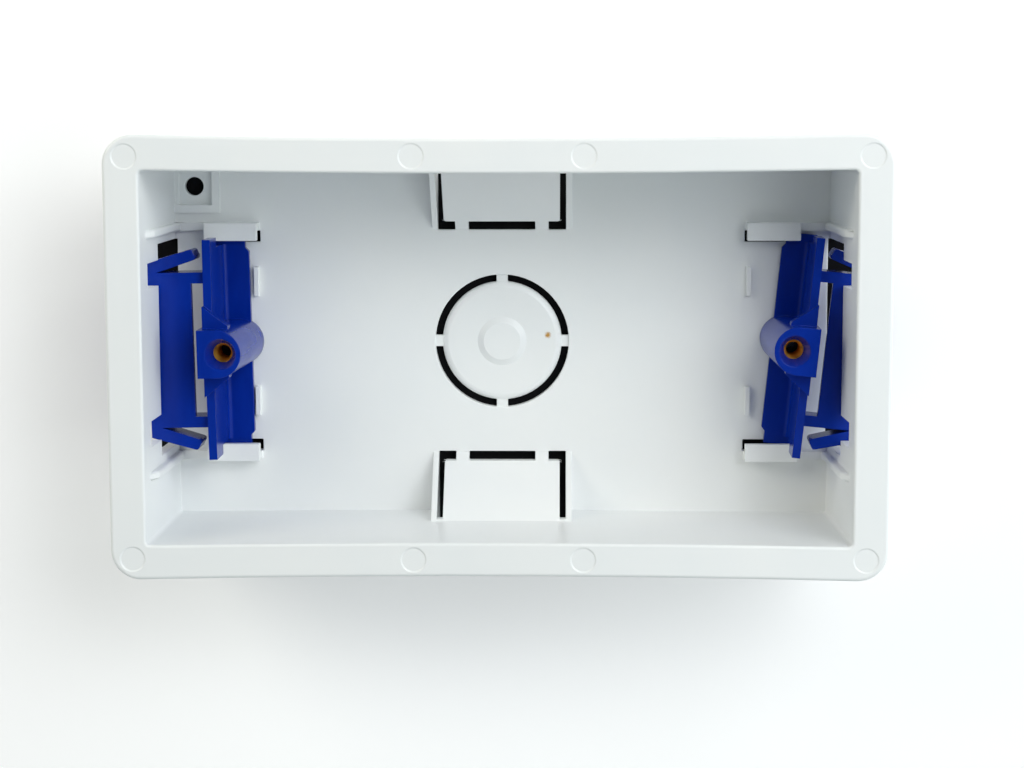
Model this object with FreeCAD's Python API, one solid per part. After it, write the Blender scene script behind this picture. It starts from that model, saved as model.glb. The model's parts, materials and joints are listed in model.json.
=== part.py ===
import FreeCAD, Part
import math
import os

# Two-gang dry-lining back box with two sliding fixing lugs, in millimetres.
# The box lies on its back: the origin is the centre of the rear face, +Z comes out of the open front,
# X runs along the long side and Y along the short side.

V = FreeCAD.Vector

# Flange and shell of the box moulding
flange_width = 143.0
flange_height = 82.0
flange_thickness = 1.6
flange_corner_radius = 5.5
flange_edge_radius = 0.7
flange_bow = 0.9
mouth_bow = 0.6
floor_bow = 0.4
rim_width = 6.6
rim_edge_radius = 0.5
box_depth = 35.0
wall_thickness = 2.0
back_thickness = 2.0
short_wall_draft = 1.0
long_wall_draft = 0.3
inner_corner_radius = 0.8
outer_corner_radius = 2.5
back_edge_chamfer = 0.8

# Ejector-pin marks on the flange
pin_mark_diameter = 4.8
pin_mark_depth = 0.15
pin_mark_slope = 0.3
pin_mark_edge_inset = 4.05
pin_mark_end_inset = 4.05
pin_mark_middle_offset = 15.6

# Round knock-out in the back
knockout_radius = 13.1
knockout_slot_width = 1.4
knockout_bridge_width = 2.2
knockout_bridge_thickness = 1.4
disc_edge_radius = 1.2
disc_edge_bands = 3
gate_puck_radius = 4.8
gate_puck_height = 0.7
gate_puck_slope = 1.2

# Sloped cable entries at the foot of both long walls
entry_width = 25.0
entry_cheek = 1.1
entry_rise = 11.7
entry_panel_thickness = 1.6
entry_slot_width = 1.7
entry_slot_lead = 0.17
entry_side_slot_width = 1.2
entry_tab_radius = 0.5
entry_bridge_offset = 7.8
entry_bridge_width = 2.6
entry_hinge_length = 0.3

# Corner screw hole and the raised frame beside it
screw_hole_diameter = 3.6
screw_hole_wall_distance = 3.8
frame_width = 1.5
frame_height = 1.0
frame_inner_length = 7.4
frame_floor_sink = 0.5

# Fixing lug, measured outward from its screw axis
lug_clearance = 0.3
boss_radius = 4.5
boss_offset = 0.7
boss_base_offset = -0.43
boss_flat_distance = 4.4
boss_length = 23.7
mouth_radius = 2.9
mouth_neck_radius = 1.75
mouth_depth = 3.5
screw_clearance_radius = 1.95
web_distance = 2.35
web_thickness = 1.55
web_half_height = 20.95
web_height = 17.5
web_end_drop = 0.8
web_tab_depth = 7.3
foot_thickness = 1.5
foot_half_height = 20.7
foot_reach = 2.7
foot_chamfer_width = 0.7
foot_chamfer_length = 0.75
foot_end_length = 2.25
foot_cove_radius = 0.9
gusset_front = 19.6
gusset_thickness = 3.2
gusset_length = 4.1
gusset_reach = 0.9
gusset_tip = 0.4
wing_front = 15.7
wing_thickness = 6.0
wing_inner_distance = 6.4
wing_outer_distance = 14.9
wing_half_height = 14.8
wing_wall = 1.6
crossbar_width = 2.1
prong_thickness = 1.9
prong_root_length = 2.0
prong_tip_distance = 5.2
prong_tip_half_height = 19.2
prong_tip_radius = 0.6

# Brass insert moulded into each boss
insert_radius = 2.5
insert_bore_radius = 1.55
insert_length = 8.0
insert_waist_depth = 0.4
insert_waist_length = 2.4
insert_chamfer = 0.2

# Guides for the lugs in the box
lip_clearance = 0.75
lip_thickness = 1.5
lip_overlap = 0.8
lip_length = 10.3
lip_wall_distance = 6.1
notch_clearance = 0.7
rail_clearance = 1.0
rail_thickness = 1.6
rail_height = 1.2
rail_wall_height = 28.0
rail_end_slope = 3.0
rail_end_radius = 2.5
rail_edge_radius = 0.5
lip_slot_margin = 0.2
lip_slot_lead = 0.45
stop_height = 1.2
stop_thickness = 0.85
stop_wall_distance = 15.4
stop_length = 5.7
stop_offset = 8.9
window_clearance = 0.9
window_bite = 0.37
end_slot_clearance = 0.4
forward_travel = 9.5

# How the two loose lugs lie: screw axis from the foot of the short wall, and angles in degrees
left_lug_setback = 12.2
left_lug_tip = 0.6
left_lug_lean = 1.0
right_lug_setback = 8.57
right_lug_tip = -1.2
right_lug_lean = 5.7
right_lug_rise = 0.65

# Values that follow from the sizes above
mouth_width = flange_width - 2 * rim_width
mouth_height = flange_height - 2 * rim_width
floor_half_width = mouth_width / 2 - short_wall_draft
floor_half_height = mouth_height / 2 - long_wall_draft
entry_wall = floor_half_height - floor_bow
outer_half_width = mouth_width / 2 + wall_thickness
outer_half_height = mouth_height / 2 + wall_thickness
lug_rear = back_thickness + lug_clearance
foot_top = lug_rear + foot_thickness
lip_under = foot_top + lip_clearance
lip_top = lip_under + lip_thickness
lip_edge = foot_half_height - lip_overlap
lip_outer = floor_half_width - lip_wall_distance
lip_inner = lip_outer - lip_length
notch_half_height = lip_edge - notch_clearance
rail_inner = foot_half_height + rail_clearance
rail_outer = rail_inner + rail_thickness
wing_front_z = lug_rear + wing_front
wing_rear_z = wing_front_z - wing_thickness
prong_root_outer = wing_half_height + prong_thickness
window_half_height = prong_tip_half_height + window_clearance
window_top = wing_front_z + window_clearance
end_slot_top = window_top + forward_travel
insert_top = lug_rear + boss_length - mouth_depth
through = 1.0
tiny = 1e-6


def block(x_range, y_range, z_range):
    """A plain box between three pairs of limits."""
    corner = V(min(x_range), min(y_range), min(z_range))
    sizes = [max(limits) - min(limits) for limits in (x_range, y_range, z_range)]
    return Part.makeBox(*sizes, corner)


def prism(points, travel):
    """A closed outline of points, extruded by a vector."""
    edge = Part.makePolygon(points + points[:1])
    return Part.Face(edge).extrude(travel)


def outline(half_width, half_height, z, bow, radius):
    """A level rectangle as a wire: rounded corners, and long sides drawn in by the bow at mid-length."""
    corners = [
        V(half_width, half_height, z),
        V(-half_width, half_height, z),
        V(-half_width, -half_height, z),
        V(half_width, -half_height, z),
    ]
    edges = []
    for start, end in zip(corners, corners[1:] + corners[:1]):
        middle = (start + end) / 2
        if start.y == end.y:
            middle.y -= math.copysign(bow, middle.y)
            edges.append(Part.Arc(start, middle, end).toShape())
        else:
            edges.append(Part.makeLine(start, end))
    slab = Part.Face(Part.Wire(edges)).extrude(V(0, 0, through))
    slab = slab.makeFillet(radius, upright_edges(slab))
    return Part.Wire(Part.sortEdges(edges_at(slab, z))[0])


def leaning_block(bottom, top, z_range):
    """A block with drafted flat sides from its half sizes at the bottom and at the top."""
    x0, y0 = bottom
    x1, y1 = top
    wedge = Part.makeWedge(-x0, z_range[0], -y0, -y1, -x1, x0, z_range[1], y0, y1, x1)
    wedge.rotate(V(), V(1, 0, 0), 90)
    return wedge


def edges_at(shape, z):
    """The edges that lie in one level plane."""
    return [e for e in shape.Edges if all(abs(v.Z - z) < tiny for v in e.Vertexes)]


def upright_edges(shape):
    """The edges whose two ends differ in height."""
    return [e for e in shape.Edges if abs(e.Vertexes[0].Z - e.Vertexes[-1].Z) > tiny]


def wall_face(z):
    """Distance of a short wall's inner face from the middle, at a height."""
    share = (z - back_thickness) / (box_depth - back_thickness)
    return floor_half_width + short_wall_draft * share


def flange_plate():
    """Flange plate whose long edges draw in a little at mid-length, as moulded boxes do."""
    rear = box_depth - flange_thickness
    edge = outline(flange_width / 2, flange_height / 2, rear, flange_bow, flange_corner_radius)
    plate = Part.Face(edge).extrude(V(0, 0, flange_thickness))
    return plate.makeFillet(flange_edge_radius, edges_at(plate, box_depth))


def shell():
    """Flange and drafted tray, with the mouth's edge rounded."""
    body = leaning_block(
        (outer_half_width - short_wall_draft, outer_half_height - long_wall_draft),
        (outer_half_width, outer_half_height),
        (0, box_depth - flange_thickness / 2),
    )
    body = body.makeFillet(outer_corner_radius, upright_edges(body))
    body = body.makeChamfer(back_edge_chamfer, edges_at(body, 0))
    floor = outline(floor_half_width, floor_half_height, back_thickness, floor_bow, inner_corner_radius)
    mouth = outline(mouth_width / 2, mouth_height / 2, box_depth, mouth_bow, inner_corner_radius)
    cavity = Part.makeLoft([floor, mouth], True, True)
    tray = flange_plate().fuse(body).cut(cavity)
    mouth_edges = [
        e
        for e in edges_at(tray, box_depth)
        if e.BoundBox.XMax < mouth_width / 2 + tiny
        and e.BoundBox.XMin > -mouth_width / 2 - tiny
        and e.BoundBox.YMax < mouth_height / 2 + tiny
        and e.BoundBox.YMin > -mouth_height / 2 - tiny
    ]
    return tray.makeFillet(rim_edge_radius, mouth_edges)


def pin_marks():
    """Shallow round marks of the ejector pins, with sloped sides, four along each long edge of the flange."""
    x_end = flange_width / 2 - pin_mark_end_inset
    y_row = flange_height / 2 - pin_mark_edge_inset
    bottom = box_depth - pin_mark_depth
    height = pin_mark_depth + through
    low_radius = pin_mark_diameter / 2 - pin_mark_slope
    high_radius = low_radius + pin_mark_slope * height / pin_mark_depth
    return [
        Part.makeCone(low_radius, high_radius, height, V(x, y, bottom))
        for x in (-x_end, -pin_mark_middle_offset, pin_mark_middle_offset, x_end)
        for y in (-y_row, y_row)
    ]


def knockout_disc():
    """The round blank: edge rounded in a few bands, raised gate mark and four bridges to the panel."""
    disc_radius = knockout_radius - knockout_slot_width
    flat_radius = disc_radius - disc_edge_radius
    edge_bottom = back_thickness - disc_edge_radius
    puck_top = back_thickness + gate_puck_height
    section = [V(0, 0, 0), V(disc_radius, 0, 0)]
    for band in range(disc_edge_bands + 1):
        angle = math.pi / 2 * band / disc_edge_bands
        reach = flat_radius + disc_edge_radius * math.cos(angle)
        section.append(V(reach, 0, edge_bottom + disc_edge_radius * math.sin(angle)))
    section += [
        V(gate_puck_radius, 0, back_thickness),
        V(gate_puck_radius - gate_puck_slope, 0, puck_top),
        V(0, 0, puck_top),
    ]
    edge = Part.makePolygon(section + section[:1])
    disc = Part.Face(edge).revolve(V(), V(0, 0, 1), 360)
    reach = knockout_radius + knockout_slot_width / 2
    half = knockout_bridge_width / 2
    bars = [
        block((-reach, reach), (-half, half), (0, knockout_bridge_thickness)),
        block((-half, half), (-reach, reach), (0, knockout_bridge_thickness)),
    ]
    return disc.multiFuse(bars)


def entry_section(offset, y_end, z_start):
    """Triangle under a 45 degree slope that leaves the floor at the entry's foot, lowered by an offset."""
    foot = entry_wall - entry_rise
    y_start = foot + offset + z_start - back_thickness
    z_end = back_thickness - offset + y_end - foot
    return [V(0, y_start, z_start), V(0, y_end, z_start), V(0, y_end, z_end)]


def entry_ramp():
    """The sloped panel of one cable entry and its cheeks, filling the corner at +Y."""
    half = entry_width / 2 + entry_cheek
    section = entry_section(0, entry_wall + wall_thickness / 2, back_thickness / 2)
    ramp = prism(section, V(2 * half, 0, 0))
    ramp.translate(V(-half, 0, 0))
    return ramp


def entry_cuts():
    """What is cut away at one cable entry: the outside recess, the slots and the tab's round corners."""
    half = entry_width / 2
    foot = entry_wall - entry_rise
    slope_drop = entry_panel_thickness * 2 ** 0.5
    recess = prism(entry_section(slope_drop, outer_half_height + through, -through), V(entry_width, 0, 0))
    recess.translate(V(-half, 0, 0))
    slot_depth = (-through, back_thickness + 2 * entry_slot_width)
    slot_y = (foot - entry_slot_lead, foot - entry_slot_lead + entry_slot_width)
    bridge_inner = entry_bridge_offset - entry_bridge_width / 2
    bridge_outer = entry_bridge_offset + entry_bridge_width / 2
    side_end = entry_wall - entry_hinge_length
    hinge_z = back_thickness + entry_rise
    cuts = [recess, block((-bridge_inner, bridge_inner), slot_y, slot_depth)]
    for side in (-1, 1):
        cuts.append(block((side * bridge_outer, side * half), slot_y, slot_depth))
        side_slot = (side * (half - entry_side_slot_width), side * half)
        cuts.append(block(side_slot, (slot_y[0], side_end), (-through, hinge_z)))
        corner_x = side * (half - entry_side_slot_width)
        centre_x = corner_x - side * entry_tab_radius
        centre_y = slot_y[1] + entry_tab_radius
        corner = block((centre_x, corner_x), (slot_y[1], centre_y), slot_depth)
        height = slot_depth[1] - slot_depth[0]
        rounding = Part.makeCylinder(entry_tab_radius, height, V(centre_x, centre_y, slot_depth[0]))
        cuts.append(corner.cut(rounding))
    return cuts


def corner_frame():
    """Raised frame on two sides of the corner screw hole, and what is cut for the hole and its sunk seat."""
    wall_x = -floor_half_width
    wall_y = floor_half_height
    inner_x = wall_x + frame_inner_length
    inner_y = wall_y - frame_inner_length
    outer_x = inner_x + frame_width
    outer_y = inner_y - frame_width
    frame_z = (back_thickness / 2, back_thickness + frame_height)
    bars = [
        block((wall_x - through, outer_x), (outer_y, inner_y), frame_z),
        block((inner_x, outer_x), (outer_y, wall_y + through), frame_z),
    ]
    seat = block(
        (wall_x + inner_corner_radius, inner_x),
        (inner_y, wall_y - inner_corner_radius),
        (back_thickness - frame_floor_sink, back_thickness + through),
    )
    centre = V(wall_x + screw_hole_wall_distance, wall_y - screw_hole_wall_distance, -through)
    hole = Part.makeCylinder(screw_hole_diameter / 2, back_thickness + 2 * through, centre)
    return bars, [seat, hole]


def lug_guides():
    """Rails, hooked lips and stops for the lug at +X, for its +Y half."""
    rail_y = (rail_inner, rail_outer)
    sunk = back_thickness / 2
    floor_rail = block((lip_inner, floor_half_width), rail_y, (sunk, back_thickness + rail_height))
    stem = block((lip_inner, lip_outer), rail_y, (sunk, lip_top))
    lip = block((lip_inner, lip_outer), (lip_edge, rail_outer), (lip_under, lip_top))
    rail_top = back_thickness + rail_wall_height
    slope_z = rail_top - rail_end_slope
    bend = V(wall_face(slope_z) - rail_height, rail_inner, slope_z)
    wall_rail = prism(
        [
            V(floor_half_width - rail_height, rail_inner, sunk),
            bend,
            V(wall_face(rail_top), rail_inner, rail_top),
            V(wall_face(rail_top) + wall_thickness / 2, rail_inner, rail_top),
            V(floor_half_width + wall_thickness / 2, rail_inner, sunk),
        ],
        V(0, rail_thickness, 0),
    )
    wall_rail = wall_rail.makeFillet(rail_end_radius, edges_at(wall_rail, bend.z))
    exposed = [
        e
        for e in upright_edges(wall_rail)
        if e.BoundBox.YLength < tiny and e.BoundBox.XMin < floor_half_width - tiny
    ]
    wall_rail = wall_rail.makeFillet(rail_edge_radius, exposed)
    stop_outer = floor_half_width - stop_wall_distance
    stop = block(
        (stop_outer - stop_thickness, stop_outer),
        (stop_offset, stop_offset + stop_length),
        (sunk, back_thickness + stop_height),
    )
    return [floor_rail, stem, lip, wall_rail, stop]


def lug_openings():
    """What is cut for the lug at +X, for its +Y half: window, end slot above it and the lip's core slot."""
    beyond = outer_half_width + through
    window = block((floor_half_width - window_bite, beyond), (0, window_half_height), (-through, window_top))
    slot_y = (wing_half_height - crossbar_width - end_slot_clearance, prong_root_outer + end_slot_clearance)
    end_slot = block((floor_half_width - through, beyond), slot_y, (window_top - through, end_slot_top))
    core_slot = block(
        (lip_inner - lip_slot_margin, lip_outer),
        (lip_edge - lip_slot_lead, rail_inner),
        (-through, back_thickness + through),
    )
    return [window, end_slot, core_slot]


def mirrored(shapes, normal):
    """The shapes together with their mirror images across a plane through the origin."""
    return shapes + [s.mirror(V(), normal) for s in shapes]


def back_box():
    across = V(1, 0, 0)
    along = V(0, 1, 0)
    frame_bars, frame_cuts = corner_frame()
    knockout_hole = Part.makeCylinder(knockout_radius, back_thickness + 2 * through, V(0, 0, -through))
    openings = mirrored(mirrored(lug_openings(), along), across)
    guides = mirrored(mirrored(lug_guides(), along), across)
    ramps = mirrored([entry_ramp()], along)
    cuts = mirrored(entry_cuts(), along) + frame_cuts + pin_marks()
    box = shell().cut(openings)
    box = box.multiFuse(guides + ramps + frame_bars)
    box = box.cut(cuts + [knockout_hole])
    return box.fuse(knockout_disc()).removeSplitter()


def turned_insert(bore_radius, chamfer):
    """Turned brass insert with a waist that keys it into the plastic, or a solid plug with no bore."""
    low = insert_top - insert_length
    middle = insert_top - insert_length / 2
    waist = insert_radius - insert_waist_depth
    half = insert_waist_length / 2
    points = [
        V(bore_radius, 0, low),
        V(insert_radius, 0, low),
        V(insert_radius, 0, middle - half),
        V(waist, 0, middle - half),
        V(waist, 0, middle + half),
        V(insert_radius, 0, middle + half),
        V(insert_radius, 0, insert_top),
        V(bore_radius + chamfer, 0, insert_top),
    ]
    if chamfer:
        points.append(V(bore_radius, 0, insert_top - chamfer))
    return Part.Face(Part.makePolygon(points + points[:1])).revolve(V(), V(0, 0, 1), 360)


def lug_boss():
    """Boss round the screw axis: its outer side is flat, its round inboard side leans in to the front."""
    front = lug_rear + boss_length
    lean = V(boss_offset - boss_base_offset, 0, boss_length)
    start = V(boss_base_offset, 0, lug_rear) - lean / lean.Length * through
    barrel = Part.makeCylinder(boss_radius, lean.Length + 2 * through, start, lean)
    reach = 2 * boss_radius
    barrel = barrel.common(block((-reach, boss_flat_distance), (-reach, reach), (lug_rear, front)))
    flat_side = prism(
        [
            V(boss_base_offset, -boss_radius, lug_rear),
            V(boss_flat_distance, -boss_radius, lug_rear),
            V(boss_flat_distance, -boss_radius, front),
            V(boss_offset, -boss_radius, front),
        ],
        V(0, 2 * boss_radius, 0),
    )
    return barrel.fuse(flat_side)


def lug_bore():
    """Countersunk mouth, the insert's seat and the clearance hole behind it."""
    front = lug_rear + boss_length
    mouth = Part.makeCone(mouth_neck_radius, mouth_radius, mouth_depth, V(0, 0, front - mouth_depth))
    seat = turned_insert(0, 0)
    rear_length = insert_top - insert_length - lug_rear + through
    rear = Part.makeCylinder(screw_clearance_radius, rear_length, V(0, 0, lug_rear - through))
    return [mouth, seat, rear]


def lug_web():
    """Upright web: highest at the boss, falling to both ends, where a tab reaches out over each lip."""
    top = lug_rear + web_height
    end_top = top - web_end_drop
    tab_bottom = end_top - web_tab_depth
    half_outline = [
        V(web_distance, boss_radius, top),
        V(web_distance, web_half_height, end_top),
        V(web_distance, web_half_height, tab_bottom),
        V(web_distance, notch_half_height, tab_bottom),
        V(web_distance, notch_half_height, foot_top),
        V(web_distance, foot_half_height, foot_top),
        V(web_distance, foot_half_height, lug_rear),
    ]
    other_half = [V(p.x, -p.y, p.z) for p in reversed(half_outline)]
    return prism(half_outline + other_half, V(web_thickness, 0, 0))


def lug_foot():
    """Flat foot that slides under the lips, with chamfered inboard corners and a cove up to the web."""
    outer = web_distance + web_thickness
    chamfer_start = foot_half_height - foot_end_length
    half_outline = [
        V(outer, foot_half_height, lug_rear),
        V(-foot_reach + foot_chamfer_width, foot_half_height, lug_rear),
        V(-foot_reach + foot_chamfer_width, chamfer_start, lug_rear),
        V(-foot_reach, chamfer_start - foot_chamfer_length, lug_rear),
    ]
    other_half = [V(p.x, -p.y, p.z) for p in reversed(half_outline)]
    foot = prism(half_outline + other_half, V(0, 0, foot_thickness))
    radius = foot_cove_radius
    cove = block(
        (web_distance - radius, web_distance),
        (-notch_half_height, notch_half_height),
        (foot_top, foot_top + radius),
    )
    hollow_axis = V(web_distance - radius, -notch_half_height - through, foot_top + radius)
    hollow = Part.makeCylinder(radius, 2 * notch_half_height + 2 * through, hollow_axis, V(0, 1, 0))
    return [foot, cove.cut(hollow)]


def lug_gussets():
    """Triangular plates that brace the boss's front end against the web."""
    outer = web_distance + web_thickness
    rear = lug_rear + gusset_front - gusset_thickness
    gusset = prism(
        [
            V(outer, 0, rear),
            V(outer, boss_radius + gusset_length, rear),
            V(-gusset_reach, boss_radius + gusset_tip, rear),
            V(-gusset_reach, 0, rear),
        ],
        V(0, 0, gusset_thickness),
    )
    return mirrored([gusset], V(0, 1, 0))


def lug_wing():
    """Clamping wing outside the web: a thin plate with an outer rib, two crossbars and two barbed prongs."""
    z_range = (wing_rear_z, wing_front_z)
    plate = block((wing_inner_distance, wing_outer_distance), (-wing_half_height, wing_half_height), z_range)
    core = block(
        (wing_inner_distance - through, wing_outer_distance - wing_wall),
        (-wing_half_height + crossbar_width, wing_half_height - crossbar_width),
        (wing_rear_z - through, wing_front_z - wing_wall),
    )
    crossbar = block(
        (web_distance, wing_inner_distance + wing_wall),
        (wing_half_height - crossbar_width, wing_half_height),
        z_range,
    )
    root_inner = wing_outer_distance - prong_root_length
    tip_low = prong_tip_half_height - prong_thickness
    tip_corners = [
        V(prong_tip_distance + prong_thickness / 2, prong_tip_half_height, wing_rear_z),
        V(prong_tip_distance, tip_low, wing_rear_z),
    ]
    prong = prism(
        [
            V(wing_outer_distance, wing_half_height - crossbar_width, wing_rear_z),
            V(wing_outer_distance, prong_root_outer, wing_rear_z),
            *tip_corners,
            V(root_inner, wing_half_height, wing_rear_z),
            V(root_inner, wing_half_height - crossbar_width, wing_rear_z),
        ],
        V(0, 0, wing_thickness),
    )
    tip_edges = [
        e
        for e in upright_edges(prong)
        if min(e.BoundBox.Center.distanceToLine(c, V(0, 0, 1)) for c in tip_corners) < tiny
    ]
    prong = prong.makeFillet(prong_tip_radius, tip_edges)
    return [plate.cut(core)] + mirrored([crossbar, prong], V(0, 1, 0))


def fixing_lug():
    """One blue lug, with +X pointing outward from its screw axis."""
    pieces = [lug_web()] + lug_foot() + lug_gussets() + lug_wing()
    return lug_boss().multiFuse(pieces).cut(lug_bore()).removeSplitter()


def tipped(shape, angle):
    """The shape tipped outward, or inward if negative, with its lowest corner just off the floor."""
    placed = shape.copy()
    placed.rotate(V(0, 0, lug_rear), V(0, 1, 0), angle)
    slope = math.sin(math.radians(angle))
    inward_reach = boss_radius - boss_base_offset
    placed.translate(V(0, 0, max(boss_flat_distance * slope, -inward_reach * slope)))
    return placed


def placed_left(shape):
    placed = tipped(shape, left_lug_tip).mirror(V(), V(1, 0, 0))
    placed.rotate(V(), V(0, 0, 1), left_lug_lean)
    placed.translate(V(left_lug_setback - floor_half_width, 0, 0))
    return placed


def placed_right(shape):
    placed = tipped(shape, right_lug_tip)
    placed.rotate(V(), V(0, 0, 1), -right_lug_lean)
    placed.translate(V(floor_half_width - right_lug_setback, right_lug_rise, 0))
    return placed


def main():
    os.makedirs("parts", exist_ok=True)
    lug = fixing_lug()
    insert = turned_insert(insert_bore_radius, insert_chamfer)
    nodes = {
        "back_box": back_box(),
        "fixing_lug_left": placed_left(lug),
        "fixing_lug_right": placed_right(lug),
        "thread_insert_left": placed_left(insert),
        "thread_insert_right": placed_right(insert),
    }
    for name, shape in nodes.items():
        shape.exportStep(f"parts/{name}.step")
        print(name, "solids", len(shape.Solids), "valid", shape.isValid(), "volume", round(shape.Volume, 1))


main()
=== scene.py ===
import bmesh
import bpy
import json
import math
from mathutils import Euler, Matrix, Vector


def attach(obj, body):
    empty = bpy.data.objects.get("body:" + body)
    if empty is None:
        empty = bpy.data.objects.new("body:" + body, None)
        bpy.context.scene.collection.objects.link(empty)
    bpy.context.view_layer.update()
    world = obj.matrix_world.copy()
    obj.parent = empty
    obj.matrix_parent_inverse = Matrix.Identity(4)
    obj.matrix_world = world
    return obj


# Looks of a white drywall back box with two blue sliding lugs, lying on its back.
# The frame is in metres; sizes below are in millimetres where their name ends in _MM.

MM = 0.001

# Camera at the photograph's viewing angle
CAMERA_PLACE_MM = (10.6, 47.0, 437.8)
CAMERA_ANGLES_DEG = (-7.26, 1.13, -0.09)
CAMERA_LENS = 78.5
CAMERA_SENSOR = 36.0
CAMERA_CLIP_MM = 10.0

# Noise: the part of its range that most values fall in, and how fine it is
NOISE_LOW = 0.3
NOISE_HIGH = 0.7
SMOOTH_DETAIL = 1.0
PLAIN_DETAIL = 2.0
GRAINY_DETAIL = 3.0
FINE_DETAIL = 4.0
PLAIN_ROUGHNESS = 0.5
FINE_ROUGHNESS = 0.6

# White moulding; scales are in features per metre
WHITE_TONES = ((0.87, 0.895, 0.90), (0.90, 0.915, 0.91))
WHITE_ROUGHNESS = (0.33, 0.40)
WHITE_MOTTLE_SCALE = 38.0
WHITE_SHINE_SCALE = 60.0
WHITE_WAVE_SCALE = 70.0
WHITE_WAVE_STRENGTH = 0.25
WHITE_WAVE_MM = 0.05

# Orange-brown speck moulded into the knock-out disc
SPECK_PLACE_MM = (8.95, 1.2, 2.0)
SPECK_RADIUS_MM = 0.6
SPECK_COLOUR = (0.55, 0.29, 0.05)
SPECK_UNEVEN_MM = 0.12
SPECK_UNEVEN_SCALE = 2600.0
SPECK_FULL_SHARE = 0.4
SPECK_END_SHARE = 1.2

# Blue moulding
BLUE_TONES = ((0.0004, 0.0195, 0.258), (0.0008, 0.026, 0.318))
BLUE_ROUGHNESS = (0.19, 0.25)
BLUE_REFLECTION = 0.2
BLUE_FLOW = (1.0, 0.35, 0.6)
BLUE_STREAK_SCALE = 260.0
BLUE_SHINE_SCALE = 110.0
BLUE_WAVE_SCALE = 150.0
BLUE_WAVE_STRENGTH = 0.2
BLUE_WAVE_MM = 0.02

# Brass
BRASS_TONES = ((0.97, 0.53, 0.07), (1.0, 0.61, 0.11))
BRASS_ROUGHNESS = (0.38, 0.44)
BRASS_TARNISH_SCALE = 900.0
BRASS_SHINE_SCALE = 1500.0
BRASS_RING_STRETCH = (0.1, 0.1, 1.0)
BRASS_RING_SCALE = 14000.0
BRASS_RING_STRENGTH = 0.3
BRASS_RING_MM = 0.01

# Edge rounding of the mouldings
BOX_EDGE_MM = 0.16
LUG_EDGE_MM = 0.1
EDGE_SEGMENTS = 2
SHARP_ANGLE_DEG = 32.0
WELD_MM = 0.0008

# Screw thread inside each insert
THREAD_PITCH_MM = 0.6
THREAD_HEIGHT_MM = 0.18
THREAD_BURY_MM = 0.06
THREAD_ROOT_WIDTH_MM = 0.5
THREAD_CREST_WIDTH_MM = 0.1
THREAD_STEPS_PER_TURN = 36
THREAD_FADE_TURNS = 0.6

# Stage: a pale floor that glows a little, and near-black sheets of painted shade where the box's openings
# show the floor
FLOOR_HALF_MM = 3000.0
FLOOR_SINK_MM = 0.12
FLOOR_TONES = ((0.90, 0.90, 0.90), (0.93, 0.93, 0.93))
FLOOR_GLOW = 0.2
PAINTED_SHADE_TONES = ((0.004, 0.004, 0.005), (0.006, 0.006, 0.007))
STAGE_SCALE = 6.0
STAGE_ROUGHNESS = 0.9
STAGE_REFLECTION = 0.1
PAINTED_SHADE_PATCHES_MM = (
    ("under_back", (-64.3, 64.3), (-34.4, 34.4)),
    ("under_left_window", (-67.9, -64.3), (-21.5, 20.4)),
    ("under_right_window", (64.3, 66.9), (-21.5, 20.4)),
    ("under_right_slot", (66.9, 69.2), (8.0, 16.0)),
    ("under_lower_entry", (-12.6, 12.6), (-36.8, -34.4)),
)

# Soft lights: name, place and width in metres, power in watts, and colour
LIGHT_TARGET = (0.0, 0.0, 0.02)
LIGHTS = (
    ("key", (0.37, 0.32, 0.55), 0.5, 3.0, (0.97, 0.99, 1.0)),
    ("warm_key", (-0.53, 0.38, 0.38), 0.4, 1.85, (1.0, 0.96, 0.84)),
    ("fill", (0.34, -0.35, 0.62), 0.6, 1.0, (0.88, 0.99, 1.0)),
    ("side", (0.75, 0.10, 0.30), 0.4, 1.3, (0.93, 0.99, 1.0)),
)

# Surround: height of the direction, and colour
SKY_STOPS = (
    (0.45, (0.21, 0.225, 0.23)),
    (0.75, (0.36, 0.385, 0.39)),
    (0.97, (0.10, 0.103, 0.105)),
)

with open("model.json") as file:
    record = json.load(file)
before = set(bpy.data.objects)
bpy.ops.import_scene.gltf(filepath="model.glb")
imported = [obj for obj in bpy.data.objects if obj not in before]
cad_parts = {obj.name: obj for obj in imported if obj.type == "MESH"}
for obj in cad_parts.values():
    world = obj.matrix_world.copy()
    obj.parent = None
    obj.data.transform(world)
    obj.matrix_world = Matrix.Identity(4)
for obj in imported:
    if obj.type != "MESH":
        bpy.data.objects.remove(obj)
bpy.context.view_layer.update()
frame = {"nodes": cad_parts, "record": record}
nodes = frame["nodes"]
mounts = {m["name"]: m for m in frame["record"]["mounts"]}


def new_material(name):
    """An empty node material with its surface shader, and the object coordinates to drive it."""
    material = bpy.data.materials.new(name)
    material.use_nodes = True
    tree = material.node_tree
    shader = tree.nodes["Principled BSDF"]
    coords = tree.nodes.new("ShaderNodeTexCoord")
    return material, tree, shader, coords.outputs["Object"]


def noise(tree, vector, scale, detail=PLAIN_DETAIL, roughness=PLAIN_ROUGHNESS):
    """Noise values over the surface; scale is in features per metre."""
    node = tree.nodes.new("ShaderNodeTexNoise")
    node.inputs["Scale"].default_value = scale
    node.inputs["Detail"].default_value = detail
    node.inputs["Roughness"].default_value = roughness
    tree.links.new(vector, node.inputs["Vector"])
    return node.outputs["Fac"]


def stretched(tree, vector, scale):
    """The coordinates scaled by a different amount along each axis."""
    node = tree.nodes.new("ShaderNodeMapping")
    node.inputs["Scale"].default_value = scale
    tree.links.new(vector, node.inputs["Vector"])
    return node.outputs["Vector"]


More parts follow.
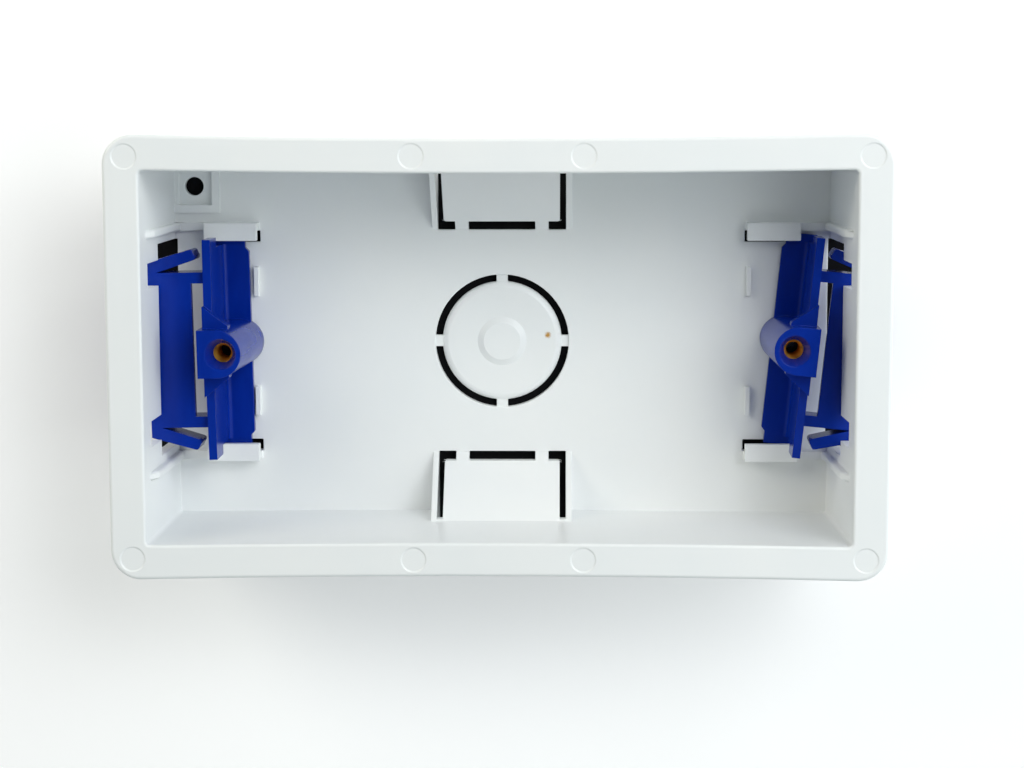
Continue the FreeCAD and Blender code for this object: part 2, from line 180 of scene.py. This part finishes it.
def ramp(tree, factor, *stops):
    """A colour that follows the factor through stops, each a position and a colour."""
    node = tree.nodes.new("ShaderNodeValToRGB")
    elements = node.color_ramp.elements
    while len(elements) < len(stops):
        elements.new(1.0)
    for element, (position, colour) in zip(elements, stops):
        element.position = position
        element.color = (*colour, 1.0)
    tree.links.new(factor, node.inputs["Fac"])
    return node.outputs["Color"]


def blend(tree, factor, tones):
    """A colour between two tones as a noise goes from its lower to its higher values."""
    low, high = tones
    return ramp(tree, factor, (NOISE_LOW, low), (NOISE_HIGH, high))


def spread(tree, value, low, high, start=NOISE_LOW, end=NOISE_HIGH):
    """The value mapped to a new range."""
    node = tree.nodes.new("ShaderNodeMapRange")
    node.inputs["From Min"].default_value = start
    node.inputs["From Max"].default_value = end
    node.inputs["To Min"].default_value = low
    node.inputs["To Max"].default_value = high
    tree.links.new(value, node.inputs["Value"])
    return node.outputs["Result"]


def bump(tree, height, strength, depth_mm):
    """Relief of a given depth."""
    node = tree.nodes.new("ShaderNodeBump")
    node.inputs["Strength"].default_value = strength
    node.inputs["Distance"].default_value = depth_mm * MM
    tree.links.new(height, node.inputs["Height"])
    return node.outputs["Normal"]


def speck_mask(tree, vector):
    """One inside the speck on the disc and zero outside, with an uneven edge."""
    distance = tree.nodes.new("ShaderNodeVectorMath")
    distance.operation = "DISTANCE"
    distance.inputs[1].default_value = [v * MM for v in SPECK_PLACE_MM]
    tree.links.new(vector, distance.inputs[0])
    reach = SPECK_UNEVEN_MM * MM
    uneven = spread(tree, noise(tree, vector, SPECK_UNEVEN_SCALE), -reach, reach)
    total = tree.nodes.new("ShaderNodeMath")
    total.operation = "ADD"
    tree.links.new(distance.outputs["Value"], total.inputs[0])
    tree.links.new(uneven, total.inputs[1])
    radius = SPECK_RADIUS_MM * MM
    return spread(tree, total.outputs["Value"], 1.0, 0.0, SPECK_FULL_SHARE * radius, SPECK_END_SHARE * radius)


def white_plastic():
    """Satin white moulding with faint mottling, slightly wavy faces and one speck."""
    material, tree, shader, place = new_material("white_plastic")
    mottle = noise(tree, place, WHITE_MOTTLE_SCALE, FINE_DETAIL, FINE_ROUGHNESS)
    mix = tree.nodes.new("ShaderNodeMix")
    mix.data_type = "RGBA"
    mix.inputs["B"].default_value = (*SPECK_COLOUR, 1.0)
    tree.links.new(speck_mask(tree, place), mix.inputs["Factor"])
    tree.links.new(blend(tree, mottle, WHITE_TONES), mix.inputs["A"])
    tree.links.new(mix.outputs["Result"], shader.inputs["Base Color"])
    shine = spread(tree, noise(tree, place, WHITE_SHINE_SCALE), *WHITE_ROUGHNESS)
    tree.links.new(shine, shader.inputs["Roughness"])
    waves = noise(tree, place, WHITE_WAVE_SCALE, SMOOTH_DETAIL)
    relief = bump(tree, waves, WHITE_WAVE_STRENGTH, WHITE_WAVE_MM)
    tree.links.new(relief, shader.inputs["Normal"])
    return material


def blue_plastic():
    """Semi-gloss royal blue moulding with faint flow streaks."""
    material, tree, shader, place = new_material("blue_plastic")
    flow = stretched(tree, place, BLUE_FLOW)
    streaks = noise(tree, flow, BLUE_STREAK_SCALE, FINE_DETAIL, FINE_ROUGHNESS)
    tree.links.new(blend(tree, streaks, BLUE_TONES), shader.inputs["Base Color"])
    shader.inputs["Specular IOR Level"].default_value = BLUE_REFLECTION
    shine = spread(tree, noise(tree, flow, BLUE_SHINE_SCALE, SMOOTH_DETAIL), *BLUE_ROUGHNESS)
    tree.links.new(shine, shader.inputs["Roughness"])
    waves = noise(tree, place, BLUE_WAVE_SCALE, SMOOTH_DETAIL)
    relief = bump(tree, waves, BLUE_WAVE_STRENGTH, BLUE_WAVE_MM)
    tree.links.new(relief, shader.inputs["Normal"])
    return material


def brass():
    """Turned brass: fine tool rings along the bore and a little tarnish."""
    material, tree, shader, place = new_material("brass")
    shader.inputs["Metallic"].default_value = 1.0
    tarnish = noise(tree, place, BRASS_TARNISH_SCALE, GRAINY_DETAIL)
    tree.links.new(blend(tree, tarnish, BRASS_TONES), shader.inputs["Base Color"])
    shine = spread(tree, noise(tree, place, BRASS_SHINE_SCALE), *BRASS_ROUGHNESS)
    tree.links.new(shine, shader.inputs["Roughness"])
    rings = noise(tree, stretched(tree, place, BRASS_RING_STRETCH), BRASS_RING_SCALE, SMOOTH_DETAIL)
    relief = bump(tree, rings, BRASS_RING_STRENGTH, BRASS_RING_MM)
    tree.links.new(relief, shader.inputs["Normal"])
    return material


def paint(piece, material):
    """Gives a piece one material all over."""
    piece.data.materials.clear()
    piece.data.materials.append(material)


def round_edges(piece, width_mm):
    """Small rounded edges on a moulding, as a stack of modifiers over its unchanged mesh."""
    weld = piece.modifiers.new("weld", "WELD")
    weld.merge_threshold = WELD_MM * MM
    edges = piece.modifiers.new("edges", "BEVEL")
    edges.width = width_mm * MM
    edges.segments = EDGE_SEGMENTS
    edges.limit_method = "ANGLE"
    edges.angle_limit = math.radians(SHARP_ANGLE_DEG)
    edges.use_clamp_overlap = False
    shading = piece.modifiers.new("shading", "WEIGHTED_NORMAL")
    shading.keep_sharp = True


def thread_section(angle, height, fade, bore):
    """Four corners of the thread ridge at one angle, wider at the wall than at its crest."""
    wall = bore + THREAD_BURY_MM
    crest = bore - THREAD_HEIGHT_MM * fade
    root_half = THREAD_ROOT_WIDTH_MM / 2
    crest_half = THREAD_CREST_WIDTH_MM / 2
    corners = ((wall, -root_half), (crest, -crest_half), (crest, crest_half), (wall, root_half))
    across = (math.cos(angle), math.sin(angle))
    return [Vector((r * across[0], r * across[1], height + h)) * MM for r, h in corners]


def thread(name, mount):
    """Helical ridge of the screw thread inside one insert, along the mount's own axis."""
    bore = mount["dims"]["r_mm"]
    length = mount["dims"]["length_mm"] - THREAD_ROOT_WIDTH_MM
    turns = length / THREAD_PITCH_MM
    steps = round(turns * THREAD_STEPS_PER_TURN)
    tilt = Vector((0, 0, 1)).rotation_difference(Vector(mount["axis"]))
    centre = Vector(mount["pos_m"])
    mesh = bmesh.new()
    rings = []
    for step in range(steps + 1):
        turn = turns * step / steps
        fade = min(1.0, turn / THREAD_FADE_TURNS, (turns - turn) / THREAD_FADE_TURNS)
        height = turn * THREAD_PITCH_MM - length / 2
        corners = thread_section(2 * math.pi * turn, height, fade, bore)
        rings.append([mesh.verts.new(centre + tilt @ c) for c in corners])
    sides = len(rings[0])
    for ring, following in zip(rings, rings[1:]):
        for corner in range(sides):
            after = (corner + 1) % sides
            mesh.faces.new((ring[corner], ring[after], following[after], following[corner]))
    mesh.faces.new(reversed(rings[0]))
    mesh.faces.new(rings[-1])
    bmesh.ops.recalc_face_normals(mesh, faces=mesh.faces)
    data = bpy.data.meshes.new(name)
    mesh.to_mesh(data)
    mesh.free()
    piece = bpy.data.objects.new(name, data)
    bpy.context.scene.collection.objects.link(piece)
    return piece


def flat_sheet(name, x_mm, y_mm, z_mm):
    """A level rectangle of the stage between two pairs of limits."""
    data = bpy.data.meshes.new(name)
    corners = [(x_mm[0], y_mm[0]), (x_mm[1], y_mm[0]), (x_mm[1], y_mm[1]), (x_mm[0], y_mm[1])]
    data.from_pydata([(x * MM, y * MM, z_mm * MM) for x, y in corners], [], [(0, 1, 2, 3)])
    sheet = bpy.data.objects.new(name, data)
    bpy.context.scene.collection.objects.link(sheet)
    return sheet


def stage_material(name, tones, glow):
    """Plain stage surface with a trace of unevenness."""
    material, tree, shader, place = new_material(name)
    uneven = noise(tree, place, STAGE_SCALE, GRAINY_DETAIL)
    tree.links.new(blend(tree, uneven, tones), shader.inputs["Base Color"])
    shader.inputs["Roughness"].default_value = STAGE_ROUGHNESS
    shader.inputs["Specular IOR Level"].default_value = STAGE_REFLECTION
    shader.inputs["Emission Color"].default_value = (1.0, 1.0, 1.0, 1.0)
    shader.inputs["Emission Strength"].default_value = glow
    return material


def area_light(name, place, size, power, colour):
    """A square soft light aimed at the box."""
    data = bpy.data.lights.new(name, "AREA")
    data.shape = "SQUARE"
    data.size = size
    data.energy = power
    data.color = colour
    light = bpy.data.objects.new(name, data)
    light.location = place
    light.rotation_euler = (Vector(LIGHT_TARGET) - Vector(place)).to_track_quat("-Z", "Y").to_euler()
    bpy.context.scene.collection.objects.link(light)


def surround():
    """An even surround, lightest between the horizon and the zenith."""
    world = bpy.data.worlds.new("surround")
    world.use_nodes = True
    tree = world.node_tree
    place = tree.nodes.new("ShaderNodeTexCoord")
    axes = tree.nodes.new("ShaderNodeSeparateXYZ")
    tree.links.new(place.outputs["Generated"], axes.inputs["Vector"])
    sky = ramp(tree, axes.outputs["Z"], *SKY_STOPS)
    tree.links.new(sky, tree.nodes["Background"].inputs["Color"])
    bpy.context.scene.world = world


def studio():
    """Pale floor, near-black sheets of painted shade under the box's openings, soft lights and the surround.
    """
    floor_range = (-FLOOR_HALF_MM, FLOOR_HALF_MM)
    floor = flat_sheet("floor", floor_range, floor_range, -FLOOR_SINK_MM)
    paint(floor, stage_material("pale_floor", FLOOR_TONES, FLOOR_GLOW))
    # The near-black patches are painted shade: they make the floor seen through the box's slots and windows
    # look dark.
    painted_shade = stage_material("painted_shade_patch", PAINTED_SHADE_TONES, 0.0)
    for name, x_range, y_range in PAINTED_SHADE_PATCHES_MM:
        paint(flat_sheet(name, x_range, y_range, -FLOOR_SINK_MM / 2), painted_shade)
    for light in LIGHTS:
        area_light(*light)
    surround()
    bpy.context.scene.view_settings.view_transform = "Standard"


def camera():
    """The photograph's camera: above the box, a little up and to the right of its middle."""
    data = bpy.data.cameras.new("camera")
    data.lens = CAMERA_LENS
    data.sensor_width = CAMERA_SENSOR
    data.clip_start = CAMERA_CLIP_MM * MM
    view = bpy.data.objects.new("camera", data)
    view.location = [v * MM for v in CAMERA_PLACE_MM]
    view.rotation_euler = Euler([math.radians(a) for a in CAMERA_ANGLES_DEG], "XYZ")
    bpy.context.scene.collection.objects.link(view)
    bpy.context.scene.camera = view


white = white_plastic()
blue = blue_plastic()
gold = brass()

paint(nodes["back_box"], white)
round_edges(nodes["back_box"], BOX_EDGE_MM)
for side in ("left", "right"):
    lug = nodes[f"fixing_lug_{side}"]
    paint(lug, blue)
    round_edges(lug, LUG_EDGE_MM)
    paint(nodes[f"thread_insert_{side}"], gold)
    ridge = thread(f"screw_thread_{side}", mounts[f"{side}_screw_thread"])
    paint(ridge, gold)
    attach(ridge, f"{side}_lug")

studio()
camera()
